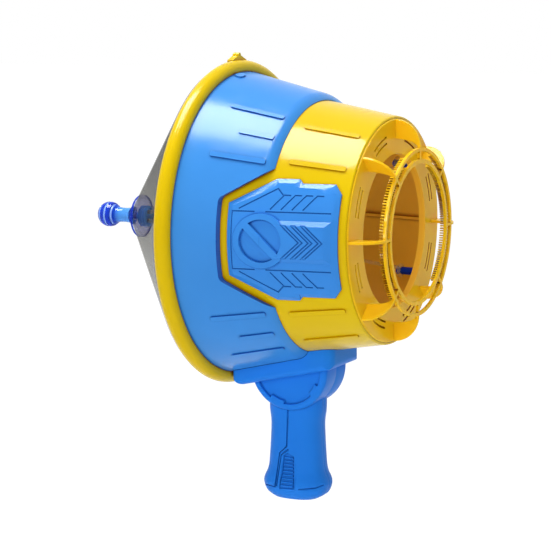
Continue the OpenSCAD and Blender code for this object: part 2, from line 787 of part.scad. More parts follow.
module drum_outside() {
  rotate_extrude() polygon(concat([[0, -rim_r], [rear_r(-rim_r) + fit, -rim_r]],
    [for (i = [0:8]) lip_point(i / 8) + [fit, fit / 2]],
    [[front_r(rear_len) + lip_edge + fit, rear_len + fit], [front_r(rear_len + fit) + fit, rear_len + fit],
      [front_r(drum_len + 40) + fit, drum_len + 40], [0, drum_len + 40]]));
}

// Plate outline with two radii at its front corners and two at its back ones
module rounded_plate(from, to, w, r_back, r_front) {
  for (end = [[from, r_back], [to, -r_front]], side = [-1, 1]) let (r = abs(end[1]))
    translate([side * (w / 2 - r), end[0] + end[1]]) circle(r, $fn = 64);
  translate([-w / 2, from + r_back]) square([w, to - r_front - from - r_back]);
  translate([-w / 2 + r_back, from]) square([w - 2 * r_back, r_back * 2]);
  translate([-w / 2 + r_front, to - 2 * r_front]) square([w - 2 * r_front, 2 * r_front]);
}

// Block that is scooped to the drum on top and flat underneath
module saddle() {
  toe = 8;
  nose = 6;
  edge = 5;
  color(handle_blue) barrel() difference() {
    intersection() {
      translate([0, saddle_w / 2, 0]) rotate([90, 0, 0]) linear_extrude(saddle_w) polygon(concat(
        [[0, saddle_from]],
        arc(underside(saddle_from) + toe * 1.25, saddle_from + toe, toe, -90, -180 - saddle_tilt, 8),
        arc(underside(saddle_to - nose) + nose / cos(saddle_tilt), saddle_to - nose, nose,
          -180 - saddle_tilt, -270, 8),
        [[0, saddle_to]]));
      translate([underside(grip_at), 0, grip_at]) rotate([0, saddle_tilt, 0]) translate([0, 0, -rim_r])
        linear_extrude(rim_r * 2) {
          translate([edge, -saddle_w / 2]) square([rim_r, saddle_w]);
          translate([0, -saddle_w / 2 + edge]) square([rim_r, saddle_w - 2 * edge]);
          for (side = [-1, 1]) translate([edge, side * (saddle_w / 2 - edge)]) circle(edge, $fn = 48);
        }
      translate([-rim_r * 1.5, 0, 0]) rotate([90, 0, 90]) linear_extrude(rim_r * 1.5)
        rounded_plate(saddle_from, saddle_to, saddle_w, 3, 9);
    }
    drum_outside();
    saddle_screw_holes();
  }
}

module saddle_screws() {
  color(steel) barrel() for (s = saddle_screw_at, side = [-1, 1])
    translate([0, side * saddle_screw_y, s]) rotate([0, -90, 0]) {
      translate([0, 0, saddle_seat(s) - screw_head_t]) cylinder(screw_head_t, r = screw_head_r, $fn = 48);
      translate([0, 0, saddle_seat(s) - eps]) cylinder(saddle_screw_len, r = screw_r, $fn = 32);
    }
}

// Half depth and half width of the grip at a height, through its waist, swell, foot and base
grip_a = grip_depth / 2;
grip_b = grip_w / 2;
grip_keys = [
  [knuckle_z - 22, grip_a + 1.6, grip_b - 0.4],
  [knuckle_z - 34, grip_a + 1.4, grip_b - 0.2],
  [knuckle_z - 46, grip_a, grip_b],
  [-10, grip_a + 1.3, grip_b + 0.4],
  [base_z + 22, grip_a + 2.6, grip_b + 0.8],
  [base_z + 15, foot_a - 0.9, foot_b - 0.4],
  [base_z + 10.5, foot_a - 0.4, foot_b],
  [base_z + 4, foot_a - 3, foot_b - 2],
  [base_z, foot_a - 9, foot_b - 5.5]];
function key_at(k) = grip_keys[min(max(k, 0), len(grip_keys) - 1)];
function spline(p0, p1, p2, p3, t) = 0.5 * (2 * p1 + (p2 - p0) * t + (2 * p0 - 5 * p1 + 4 * p2 - p3) * t * t
  + (3 * p1 - p0 - 3 * p2 + p3) * t * t * t);
grip_steps = 3;
grip_levels = [for (k = [0:len(grip_keys) - 2], i = [0:grip_steps - 1])
  spline(key_at(k - 1), key_at(k), key_at(k + 1), key_at(k + 2), i / grip_steps),
  key_at(len(grip_keys) - 1)];

// Half of the grip on one side of its middle plane, as a loft of squarish ovals
grip_sides = 18;
squareness = 2.5;
function oval(a, b, t) = [a * sign(cos(t)) * pow(abs(cos(t)), 2 / squareness),
  b * pow(abs(sin(t)), 2 / squareness)];
module grip_half(inset, floor_up) {
  rings = [for (level = grip_levels) [for (i = [0:grip_sides])
    let (p = oval(level[1] - inset, level[2] - inset, 180 * i / grip_sides))
    [p[0], p[1], max(level[0], base_z + floor_up)]]];
  kept = [for (k = [0:len(rings) - 1]) if (k == 0 || rings[k][0][2] < rings[k - 1][0][2]) rings[k]];
  n = grip_sides + 1;
  top = len(kept) - 1;
  polyhedron([for (ring = kept) each ring], concat(
    [for (k = [0:top - 1], i = [0:n - 1]) let (j = (i + 1) % n)
      [k * n + i, k * n + j, (k + 1) * n + i]],
    [for (k = [0:top - 1], i = [0:n - 1]) let (j = (i + 1) % n)
      [k * n + j, (k + 1) * n + j, (k + 1) * n + i]],
    [[for (i = [n - 1:-1:0]) i]],
    [[for (i = [0:n - 1]) top * n + i]]));
}

// Half of the round knuckle, turned about a line across the handle
module knuckle_half(inset) {
  r = knuckle_r - inset;
  half = knuckle_w / 2 - inset;
  round = 3.5;
  translate([0, 0, knuckle_z]) rotate([-90, 0, 0]) rotate_extrude() polygon(concat(
    [[0, 0], [r, 0]],
    arc(r - round, half - round, round, 12, 80, 8),
    [[r - round - 1, half], [0, half]]));
}

module above_underside() {
  barrel() translate([underside(grip_at), 0, grip_at]) rotate([0, saddle_tilt, 0])
    translate([0, -rim_r, -rim_r]) cube([rim_r, rim_r * 2, rim_r * 2]);
}

module grip_bosses(r) {
  for (z = grip_screw_z) translate([0, 0, z]) rotate([-90, 0, 0])
    cylinder(knuckle_w / 2 - grip_wall / 2, r = r, $fn = 48);
}

// Side outlines of the handle are [front, up], and go from the middle plane out to the side
module out_to_side() {
  translate([0, knuckle_w, 0]) rotate([90, 0, 0]) linear_extrude(knuckle_w) children();
}

// Moulded lines, a foot line and a ribbed pad on the grip's side
module grip_relief() {
  pad_top = -8;
  pad_h = 25;
  pad_w = 8.4;
  pad_spread = 3;
  ribs = 9;
  rib_pitch = pad_h / ribs;
  foot = base_z + 10.5;
  polyline([[-1, knuckle_z - 33], [-1.5, 0], [-7.7, -5.7], [-10.8, foot], [-17, foot]]);
  polyline([[-0.7, -2.2], [-6.4, -6.7], [-9.4, foot]]);
  polyline([[10, foot], [28, foot + 1.5]]);
  for (k = [0:ribs - 1]) let (w = pad_w / 2 + pad_spread * k / ribs, lead = w * 0.88 + groove_w)
    translate([-w, pad_top - (k + 0.5) * rib_pitch]) square([w + lead, rib_pitch / 2]);
}

module polyline(points) {
  for (i = [0:len(points) - 2]) stroke(points[i], points[i + 1]);
}

// Sunk panel on the knuckle's cheek: a disc whose edge steps in on both sides of its lower tongue
module knuckle_panel() {
  panel_r = knuckle_r - 5;
  panel_step = 2.5;
  far = knuckle_r * 2;
  circle(panel_r - panel_step);
  intersection() {
    circle(panel_r);
    for (span = [[-97, -44], [-180, -122], [-24, 30]])
      polygon([[0, 0], [far * cos(span[0]), far * sin(span[0])],
        [far * cos((span[0] + span[1]) / 2), far * sin((span[0] + span[1]) / 2)],
        [far * cos(span[1]), far * sin(span[1])]]);
  }
}

module grip_solid() {
  panel_d = 1.4;
  difference() {
    union() {
      difference() {
        grip_half(0, 0);
        out_to_side() grip_relief();
      }
      grip_half(groove_d, 0);
      difference() {
        knuckle_half(0);
        translate([0, knuckle_w / 2 - panel_d, knuckle_z]) out_to_side() knuckle_panel();
      }
    }
    difference() {
      knuckle_half(grip_wall);
      translate([0, 0, -grip_wall]) above_underside();
    }
    grip_half(grip_wall, grip_wall);
    above_underside();
  }
}

module saddle_screw_pilots() {
  barrel() for (s = saddle_screw_at, side = [-1, 1]) translate([0, side * saddle_screw_y, s])
    rotate([0, -90, 0]) translate([0, 0, saddle_seat(s)]) children();
}

// A handle half on the +Y side, with bosses for the screws that pass through or bite in it
module handle_half(hole, boss, through) {
  difference() {
    union() {
      grip_solid();
      intersection() {
        union() {
          grip_bosses(boss);
          saddle_screw_pilots() cylinder(saddle_screw_len + 8, r = screw_r + boss_wall, $fn = 48);
        }
        union() {
          knuckle_half(grip_wall / 2);
          grip_half(grip_wall / 2, 0);
        }
      }
    }
    above_underside();
    for (z = grip_screw_z) translate([0, -eps, z]) rotate([-90, 0, 0]) {
      cylinder(through ? knuckle_w : head_seat, r = hole, $fn = 32);
      if (through) translate([0, 0, head_seat]) cylinder(knuckle_w, r = screw_head_r + fit, $fn = 32);
    }
    saddle_screw_pilots() cylinder(saddle_screw_len + 2, r = screw_r + snug, $fn = 32);
  }
}

module grip_left() {
  color(handle_blue) handle_half(screw_r + clear, screw_head_r + boss_wall, true);
}

module grip_right() {
  color(handle_blue) mirror([0, 1, 0]) handle_half(screw_r + snug, screw_r + boss_wall, false);
}

module grip_screws() {
  color(steel) for (z = grip_screw_z) translate([0, 0, z]) rotate([90, 0, 0]) {
    translate([0, 0, -head_seat - screw_head_t]) cylinder(screw_head_t, r = screw_head_r, $fn = 48);
    translate([0, 0, -head_seat - eps]) cylinder(grip_screw_len, r = screw_r, $fn = 32);
  }
}

rear_shell();
front_shell();
shell_screws();
rim_ring();
membrane();
pull_knob();
film_washer();
knob_plug();
elastic_cord_1();
elastic_cord_2();
elastic_cord_3();
elastic_cord_4();
cord_peg_1();
cord_peg_2();
cord_peg_3();
cord_peg_4();
wand_collar();
wand_arms();
wand_ring();
badge_right();
badge_left();
saddle();
saddle_screws();
grip_right();
grip_left();
grip_screws();
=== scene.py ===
import math
import bpy
import bmesh
import numpy as np
from mathutils import Vector, Matrix
from mathutils.geometry import delaunay_2d_cdt


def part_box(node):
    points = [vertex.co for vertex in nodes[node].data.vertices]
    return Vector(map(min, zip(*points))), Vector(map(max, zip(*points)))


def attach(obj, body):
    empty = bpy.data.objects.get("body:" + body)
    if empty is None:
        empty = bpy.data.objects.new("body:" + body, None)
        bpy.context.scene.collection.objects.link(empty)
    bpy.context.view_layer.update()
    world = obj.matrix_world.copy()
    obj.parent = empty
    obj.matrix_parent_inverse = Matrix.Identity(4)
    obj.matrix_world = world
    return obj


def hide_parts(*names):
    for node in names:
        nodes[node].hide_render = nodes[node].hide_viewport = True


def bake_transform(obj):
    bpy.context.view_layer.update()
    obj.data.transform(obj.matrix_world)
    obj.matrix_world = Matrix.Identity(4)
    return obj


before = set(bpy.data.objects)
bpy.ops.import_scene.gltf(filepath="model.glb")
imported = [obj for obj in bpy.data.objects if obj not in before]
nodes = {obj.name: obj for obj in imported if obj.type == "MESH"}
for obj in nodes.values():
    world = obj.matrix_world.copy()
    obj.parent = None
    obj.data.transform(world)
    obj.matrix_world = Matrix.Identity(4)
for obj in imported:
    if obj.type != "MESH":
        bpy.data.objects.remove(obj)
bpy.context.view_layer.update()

scene = bpy.context.scene

# where the drum lies: its axis height, the plane of the rim's core circle, and the knob's end
rimBeadR = 0.0062
collarLow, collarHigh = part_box("wand_collar")
axisZ = (collarLow.z + collarHigh.z) / 2
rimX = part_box("rim_ring")[0].x + rimBeadR
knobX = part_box("pull_knob")[0].x


# sRGB code to the linear colour that Blender takes
def hexColour(code):
    parts = [int(code[i:i + 2], 16) / 255 for i in (0, 2, 4)]
    return tuple(c / 12.92 if c <= 0.04045 else ((c + 0.055) / 1.055) ** 2.4 for c in parts) + (1.0,)


def newMaterial(name):
    mat = bpy.data.materials.new(name)
    mat.use_nodes = True
    mat.node_tree.nodes.clear()
    return mat, mat.node_tree


def add(tree, kind, **inputs):
    n = tree.nodes.new(kind)
    for key, value in inputs.items():
        n.inputs[key.replace("_", " ")].default_value = value
    return n


def objectCoords(tree):
    return tree.nodes.new("ShaderNodeTexCoord").outputs["Object"]


def noise(tree, coords, scale, detail, rough=0.5):
    n = add(tree, "ShaderNodeTexNoise", Scale=scale, Detail=detail, Roughness=rough)
    tree.links.new(coords, n.inputs["Vector"])
    return n.outputs["Fac"]


# stretches a value to another range; most of a noise lies between 0.3 and 0.7
def spread(tree, value, low, high, fromLow=0.3, fromHigh=0.7):
    n = tree.nodes.new("ShaderNodeMapRange")
    n.inputs[1].default_value, n.inputs[2].default_value = fromLow, fromHigh
    n.inputs[3].default_value, n.inputs[4].default_value = low, high
    tree.links.new(value, n.inputs[0])
    return n.outputs[0]


# painted shade: share of open sky over a few millimetres, so that grooves and corners go darker
def crevice(tree, reach, alone=True):
    n = add(tree, "ShaderNodeAmbientOcclusion", Distance=reach)
    n.samples = 6
    n.only_local = alone
    return spread(tree, n.outputs["AO"], 0, 1, 0.45, 0.95)    # an inner corner sees about half the sky


# a where fac is 0 and b where it is 1; each is a fixed colour or another node's output
def mixColour(tree, fac, a, b):
    n = tree.nodes.new("ShaderNodeMix")
    n.data_type = "RGBA"
    for colour, socket in ((a, n.inputs[6]), (b, n.inputs[7])):
        if isinstance(colour, tuple):
            socket.default_value = colour
        else:
            tree.links.new(colour, socket)
    tree.links.new(fac, n.inputs[0])
    return n.outputs[2]


def mixShaders(tree, fac, first, second):
    mix = tree.nodes.new("ShaderNodeMixShader")
    tree.links.new(fac, mix.inputs[0])
    tree.links.new(first.outputs[0], mix.inputs[1])
    tree.links.new(second.outputs[0], mix.inputs[2])
    return mix.outputs[0]


def showSurface(tree, shader, kind="ShaderNodeOutputMaterial"):
    tree.links.new(shader, tree.nodes.new(kind).inputs["Surface"])


def grain(tree, coords, bsdf, pattern, strength, depth):
    bump = add(tree, "ShaderNodeBump", Strength=strength, Distance=depth)
    tree.links.new(noise(tree, coords, *pattern), bump.inputs["Height"])
    tree.links.new(bump.outputs[0], bsdf.inputs["Normal"])


# every pattern is a noise's scale, detail and, where it is not a half, roughness
moulding = {"driftPattern": (14, 4), "roughPattern": (60, 5, 0.6), "roughSpan": (0.8, 1.25),
            "peelPattern": (700, 2), "peelDepth": 0.0002, "skin": (0.0002, 0.00015, 0.0001)}


# moulded plastic: pigment that drifts slowly, a gloss that is uneven, and a fine orange peel
def mouldedPlastic(name, look):
    mat, tree = newMaterial(name)
    link = tree.links.new
    coords = objectCoords(tree)
    bsdf = add(tree, "ShaderNodeBsdfPrincipled", IOR=1.5, Specular_IOR_Level=look["specular"],
               Subsurface_Weight=look.get("soft", 0), Subsurface_Scale=1.0,
               Subsurface_Radius=look.get("through", moulding["skin"]))
    drift = spread(tree, noise(tree, coords, *moulding["driftPattern"]), 0, 1)
    pigment = mixColour(tree, drift, hexColour(look["colour"]), hexColour(look["drift"]))
    # painted shade: grooves, corners and joints with other pieces take the darker colour
    shade = crevice(tree, look["reach"], look.get("alone", False))
    link(mixColour(tree, shade, hexColour(look["paintedShade"]), pigment), bsdf.inputs["Base Color"])
    glossy, dull = [look["rough"] * share for share in moulding["roughSpan"]]
    rough = spread(tree, noise(tree, coords, *moulding["roughPattern"]), glossy, dull)
    link(rough, bsdf.inputs["Roughness"])
    grain(tree, coords, bsdf, moulding["peelPattern"], look["peel"], moulding["peelDepth"])
    showSurface(tree, bsdf.outputs[0])
    return mat


# the darker colour is painted shade in grooves and corners; alone: it darkens corners within the piece, but
# not its joints with other pieces; soft is the share of the light that goes under the skin, and through is
# how far red, green and blue get
shellBlue = {"colour": "3C8AD8", "drift": "3784D1", "paintedShade": "174F9C", "reach": 0.0025,
             "rough": 0.21, "specular": 0.12, "peel": 0.05}
badgeBlue = {"colour": "3888DC", "drift": "3382D5", "paintedShade": "0F479B", "reach": 0.002,
             "rough": 0.21, "specular": 0.12, "peel": 0.05}
handleBlue = {"colour": "207BE0", "drift": "1D75D8", "paintedShade": "12509F", "reach": 0.0018, "alone": True,
              "rough": 0.38, "specular": 0.08, "peel": 0.08}
# painted shade: a deeper blue for the windows' walls
windowWallShade = {"colour": "1F66CC", "drift": "1B5FC2", "paintedShade": "123F86", "reach": 0.0025,
              "rough": 0.3, "specular": 0.1, "peel": 0.05}
shellYellow = {"colour": "D8B800", "drift": "D3B100", "paintedShade": "A86A00", "reach": 0.0025,
               "rough": 0.18, "specular": 0.1, "peel": 0.05, "soft": 0.05}
# painted light: a warmer amber for the drum's inside, in place of the light that comes through the yellow
# walls and bounces inside
paintedGlowAmber = {"colour": "FEC23C", "drift": "F8B834", "paintedShade": "A85A0C", "reach": 0.003,
               "rough": 0.35, "specular": 0.05, "peel": 0.08}
wandAmber = {"colour": "F3C21A", "drift": "ECB716", "paintedShade": "8A3C04", "reach": 0.0015, "alone": True,
             "rough": 0.2, "specular": 0.08, "peel": 0.04, "soft": 0.4, "through": (0.003, 0.002, 0.0004)}

blueMat = mouldedPlastic("blueShell", shellBlue)
windowShadeMat = mouldedPlastic("blueWindowShade", windowWallShade)
badgeMat = mouldedPlastic("blueBadge", badgeBlue)
handleMat = mouldedPlastic("blueHandle", handleBlue)
yellowMat = mouldedPlastic("yellowShell", shellYellow)
paintedGlowMat = mouldedPlastic("amberPaintedGlow", paintedGlowAmber)
amberMat = mouldedPlastic("amberWand", wandAmber)

casting = {"specular": 0.2, "roughPattern": (220, 4), "rough": (0.07, 0.11),
           "clearPattern": (60, 3), "clearSpan": 0.04}


# tinted see-through plastic of the knob, the plug, the washer and the pegs
def tintedPlastic(name, look):
    mat, tree = newMaterial(name)
    link = tree.links.new
    coords = objectCoords(tree)
    bsdf = add(tree, "ShaderNodeBsdfPrincipled", IOR=1.5, Specular_IOR_Level=casting["specular"])
    place = tree.nodes.new("ShaderNodeSeparateXYZ")
    link(coords, place.inputs[0])
    (first, firstColour), *between, (last, lastColour) = look["stops"]
    ramp = tree.nodes.new("ShaderNodeValToRGB")
    for x, colour in between:
        ramp.color_ramp.elements.new((x - first) / (last - first)).color = hexColour(colour)
    ramp.color_ramp.elements[0].color = hexColour(firstColour)
    ramp.color_ramp.elements[-1].color = hexColour(lastColour)
    link(spread(tree, place.outputs["X"], 0, 1, first, last), ramp.inputs[0])
    # painted shade: grooves and corners take the groove colour
    shade = crevice(tree, look["reach"])
    pigment = mixColour(tree, shade, hexColour(look["groove"]), ramp.outputs["Color"])
    link(pigment, bsdf.inputs["Base Color"])
    rough = spread(tree, noise(tree, coords, *casting["roughPattern"]), *casting["rough"])
    link(rough, bsdf.inputs["Roughness"])
    clear = add(tree, "ShaderNodeBsdfTransparent", Color=hexColour(look["tint"]))
    least, most = look["clear"] - casting["clearSpan"], look["clear"] + casting["clearSpan"]
    through = spread(tree, noise(tree, coords, *casting["clearPattern"]), least, most)
    showSurface(tree, mixShaders(tree, through, bsdf, clear))
    return mat


# the knob's colours along the barrel, from its end; painted highlight: a light line at each of the ball's
# grooves
ball = {"start": -0.0004, "grooves": 3, "firstGroove": 0.0028, "groovePitch": 0.0052,
        "glintHalf": 0.0005, "bandEdge": 0.0011, "line": "9CC4FF", "band": "0838C8", "end": "2A5CD8"}
neck = [(0.0196, "4C98EC"), (0.0286, "549EF0"), (0.0314, "1238BC"), (0.0396, "0B2CA8")]


def knobStops():
    stops = [(knobX + ball["start"], ball["end"])]
    for i in range(ball["grooves"]):
        x = knobX + ball["firstGroove"] + ball["groovePitch"] * i
        stops += [(x - ball["bandEdge"], ball["band"]), (x - ball["glintHalf"], ball["line"]),
                  (x + ball["glintHalf"], ball["line"]), (x + ball["bandEdge"], ball["band"])]
    return stops + [(knobX + x, colour) for x, colour in neck]


# stops are (x, pigment) along the barrel, groove is the colour of the painted shade in grooves and corners,
# tint is for the light that passes, and clear is its share
knobBlue = {"stops": knobStops(), "tint": "5C92F0", "groove": "2A5CD8", "reach": 0.0014, "clear": 0.14}
saucerBlue = {"stops": [(-0.15, "8797E4"), (-0.138, "7C8CDC")], "tint": "EEF0FD", "groove": "4656B4",
              "reach": 0.001, "clear": 0.93}
plugBlue = {"stops": [(-0.14, "3894FF"), (-0.12, "409CFF")], "tint": "4A7CFF", "groove": "0C38C0",
            "reach": 0.0008, "clear": 0.1}
pegBlue = {"stops": [(0.05, "0C38B0"), (0.08, "0A309C")], "tint": "2048C0", "groove": "061C66",
           "reach": 0.001, "clear": 0.08}
washerViolet = {"stops": [(-0.15, "B6B4D6"), (-0.13, "ACAACE")], "tint": "F4F3FA", "groove": "7674AA",
                "reach": 0.0008, "clear": 0.88}

knobMat = tintedPlastic("clearBlue", knobBlue)
saucerMat = tintedPlastic("saucerBlue", saucerBlue)
plugMat = tintedPlastic("plugBlue", plugBlue)
pegMat = tintedPlastic("pegBlue", pegBlue)
washerMat = tintedPlastic("washerViolet", washerViolet)


# colour and gloss that wander between two values
def blotchy(tree, coords, bsdf, look):
    drift = spread(tree, noise(tree, coords, *look["driftPattern"]), 0, 1)
    pigment = mixColour(tree, drift, hexColour(look["colour"]), hexColour(look["drift"]))
    tree.links.new(pigment, bsdf.inputs["Base Color"])
    rough = spread(tree, noise(tree, coords, *look["roughPattern"]), *look["rough"])
    tree.links.new(rough, bsdf.inputs["Roughness"])


# hazy plastic of the film and the cords: most of the light passes straight through, the rest is scattered
def hazyPlastic(name, look):
    mat, tree = newMaterial(name)
    coords = objectCoords(tree)
    bsdf = add(tree, "ShaderNodeBsdfPrincipled", IOR=1.45)
    blotchy(tree, coords, bsdf, look)
    grain(tree, coords, bsdf, look["grainPattern"], look["grain"], look["grainDepth"])
    clear = tree.nodes.new("ShaderNodeBsdfTransparent")
    if "tintTop" in look:
        tree.links.new(smoke(tree, coords, look), clear.inputs["Color"])
    through = spread(tree, noise(tree, coords, *look["clearPattern"]), *look["clear"])
    showSurface(tree, mixShaders(tree, through, bsdf, clear))
    return mat


# painted shade: the film's tint is darker towards the top; it is thin where the film is clamped flat on the
# saucer
def smoke(tree, coords, look):
    place = tree.nodes.new("ShaderNodeSeparateXYZ")
    tree.links.new(coords, place.inputs[0])
    height = spread(tree, place.outputs["Z"], 0, 1, axisZ + look["lowZ"], axisZ + look["topZ"])
    cone = spread(tree, place.outputs["X"], 0, 1, rimX + look["saucerTo"], rimX + look["coneFrom"])
    onCone = mixColour(tree, height, hexColour(look["tintLow"]), hexColour(look["tintTop"]))
    return mixColour(tree, cone, hexColour(look["onSaucer"]), onCone)


# painted shade: tintTop is darker than tintLow
filmGrey = {"colour": "989896", "drift": "8C8C8A", "driftPattern": (25, 5), "rough": (0.18, 0.32),
            "roughPattern": (120, 4), "grain": 0.03, "grainPattern": (160, 3), "grainDepth": 0.0004,
            "clear": (0.91, 0.97), "clearPattern": (18, 4), "tintTop": "CDCDCC", "tintLow": "F1F1F0",
            "onSaucer": "FAFAFC", "topZ": 0.07, "lowZ": -0.09, "saucerTo": -0.0884, "coneFrom": -0.0868}
elasticClear = {"colour": "DCCFAE", "drift": "D0C29E", "driftPattern": (150, 4), "rough": (0.35, 0.5),
                "roughPattern": (300, 4), "grain": 0.2, "grainPattern": (900, 2), "grainDepth": 0.0003,
                "clear": (0.74, 0.86), "clearPattern": (200, 3)}
screwSteel = {"colour": "B9BBC0", "drift": "8F9197", "driftPattern": (400, 4), "rough": (0.25, 0.45),
              "roughPattern": (900, 3)}


def steelMaterial(name, look):
    mat, tree = newMaterial(name)
    coords = objectCoords(tree)
    bsdf = add(tree, "ShaderNodeBsdfPrincipled", Metallic=1.0)
    blotchy(tree, coords, bsdf, look)
    showSurface(tree, bsdf.outputs[0])
    return mat


filmMat = hazyPlastic("greyFilm", filmGrey)
elasticMat = hazyPlastic("clearElastic", elasticClear)
steelMat = steelMaterial("screwSteel", screwSteel)
print("materials:", len(bpy.data.materials))

softening = {"weld": 0.000002, "fromAngle": math.radians(28)}


# CAD pieces keep their shape and get softened edges and a finish
def dress(name, mat, edge, segments=2):
    obj = nodes[name]
    mesh = obj.data
    if "custom_normal" in mesh.attributes:
        mesh.attributes.remove(mesh.attributes["custom_normal"])
    mesh.materials.clear()
    mesh.materials.append(mat)
    mesh.shade_smooth()
    obj.modifiers.new("weld", "WELD").merge_threshold = softening["weld"]
    bevel = obj.modifiers.new("edges", "BEVEL")
    bevel.width = edge
    bevel.segments = segments
    bevel.limit_method = "ANGLE"
    bevel.angle_limit = softening["fromAngle"]
    bevel.miter_outer = "MITER_ARC"
    obj.modifiers.new("normals", "WEIGHTED_NORMAL").mode = "FACE_AREA"


dress("rear_shell", blueMat, 0.0006)
dress("front_shell", yellowMat, 0.0005)
dress("rim_ring", yellowMat, 0.0003)
dress("wand_collar", amberMat, 0.0002)
dress("wand_arms", amberMat, 0.0003)
dress("wand_ring", amberMat, 0.00015, 1)
for side in ("right", "left"):
    dress("badge_" + side, badgeMat, 0.00035)
dress("saddle", handleMat, 0.0006)
dress("pull_knob", knobMat, 0.0003)
dress("film_washer", washerMat, 0.0002)
dress("knob_plug", plugMat, 0.0002)
for i in range(1, 5):
    dress("cord_peg_%d" % i, pegMat, 0.0002)
for name in ("shell_screws", "saddle_screws", "grip_screws"):
    dress(name, steelMat, 0.0001, 1)


# gives the faces of a CAD piece that pass a test a second finish
def paintFaces(name, mat, test):
    mesh = nodes[name].data
    mesh.materials.append(mat)
    for face in mesh.polygons:
        out = Vector((0, face.center.y, face.center.z - axisZ)).normalized()
        if test(face.center, face.normal, face.normal.dot(out)):
            face.material_index = 1


# which way the painted faces point, and where they lie along the barrel from the rim
inside = {"inward": -0.3, "backward": -0.7, "fromS": 0.03}
window = {"sideways": 0.75, "backward": -0.2, "fromY": 0.05, "fromS": 0.03, "toS": 0.0705}
saucer = {"lengthwise": 0.5, "fromS": -0.0965}


# the drum's inside is a warmer, duller yellow than its outside; the warmer amber is painted light, for the
# light that comes through the yellow walls and bounces inside
def isInside(place, normal, outward):
    facesBack = normal.x < inside["backward"] and place.x > rimX + inside["fromS"]
    return outward < inside["inward"] or facesBack


# painted shade: the windows' walls get a deeper blue
def isWindowWall(place, normal, outward):
    points = abs(outward) < window["sideways"] and normal.x > window["backward"]
    lies = abs(place.y) > window["fromY"] and window["fromS"] < place.x - rimX < window["toS"]
    return points and lies


# the saucer is clearer than the ball
def isSaucerFace(place, normal, outward):
    return abs(normal.x) > saucer["lengthwise"] and place.x > rimX + saucer["fromS"]


# painted light: the drum's and the collar's inward faces get the warmer amber
paintFaces("front_shell", paintedGlowMat, isInside)
paintFaces("wand_collar", paintedGlowMat, isInside)
# painted shade: the windows' walls get the deeper blue
paintFaces("rear_shell", windowShadeMat, isWindowWall)
paintFaces("pull_knob", saucerMat, isSaucerFace)
print("CAD pieces dressed")


def meshObject(name, verts, faces, mat, slot):
    mesh = bpy.data.meshes.new(name)
    mesh.from_pydata(verts, [], faces)
    mesh.validate()
    obj = bpy.data.objects.new(name, mesh)
    scene.collection.objects.link(obj)
    mesh.materials.append(mat)
    return obj


# s runs along the barrel from the rim, r out from its axis, and the angle starts at the top
def onBarrel(s, r, angle):
    return (rimX + s, -r * math.sin(angle), axisZ + r * math.cos(angle))


# the film leaves the saucer's edge, runs off the back of the rim's bead and turns into the groove there
film = {"draw": -0.087, "saucerR": 0.0168, "dish": 0.0056, "holeR": 0.00295, "bend": -0.0061,
        "holdR": 0.1222, "end": -0.0015, "thick": 0.0005, "steps": 288, "rows": 30,
        "sharp": math.radians(40),
        "pleats": [(23, 1.3, 0.5), (37, 0, 0.3), (11, 0.4, 0.6)],      # how many, phase and height's share
        "pleatS": 0.00016, "pleatR": -0.00012, "pleatFade": 1.5}


# closed loop of (s, r), along the outside and back along the inside
def filmSection():
    t = film["thick"]
    lean = math.atan2(film["holdR"] - film["saucerR"], film["bend"] - film["draw"])
    offS, offR = math.sin(lean) * t, -math.cos(lean) * t
    outer = [(film["draw"] - film["dish"] * (1 - film["holeR"] / film["saucerR"]), film["holeR"])]
    inner = [(outer[0][0] + t, film["holeR"])]
    for i in range(film["rows"] + 1):
        u = i / film["rows"]
        s = film["draw"] + (film["bend"] - film["draw"]) * u
        r = film["saucerR"] + (film["holdR"] - film["saucerR"]) * u
        outer.append((s, r))
        inner.append((s + offS, r + offR))
    outer.append((film["end"], film["holdR"]))
    inner.append((film["end"], film["holdR"] - t))
    return outer + inner[::-1]


# fine pleats that fade out at both ends
def filmPleats(s, angle):
    u = (s - film["draw"]) / (film["bend"] - film["draw"])
    if not 0 < u < 1:
        return 0, 0
    fade = math.sin(math.pi * u) ** film["pleatFade"]
    wave = sum(math.sin(count * angle + phase) * share for count, phase, share in film["pleats"])
    return film["pleatS"] * wave * fade, film["pleatR"] * wave * fade


# the section turned about the barrel
def turnedFilm():
    section, steps = filmSection(), film["steps"]
    verts, faces = [], []
    n = len(section)
    for k in range(steps):
        angle = 2 * math.pi * k / steps
        for s, r in section:
            ds, dr = filmPleats(s, angle)
            verts.append(onBarrel(s + ds, r + dr, angle))
        m = (k + 1) % steps
        for i in range(n):
            j = (i + 1) % n
            faces.append((k * n + i, k * n + j, m * n + j, m * n + i))
    return verts, faces


filmObj = meshObject("film", *turnedFilm(), filmMat, "film")
filmObj.data.shade_smooth()
filmObj.data.set_sharp_from_angle(angle=film["sharp"])
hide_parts("membrane")
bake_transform(filmObj)
print("film: %d faces" % len(filmObj.data.polygons))

# each cord runs from the plug to an eye in the neck of its peg, and is a little thinner in the middle
cord = {"fromS": -0.0850, "fromR": 0.0035, "toS": 0.1145, "toR": 0.0594, "pegR": 0.0637, "r": 0.0015,
        "thinner": 0.12, "loopR": 0.0041, "angles": (43, 126, 234, 317), "rows": 60, "loopRows": 28,
        "sides": 14, "blendFrom": -0.075, "blendTo": 0.108}


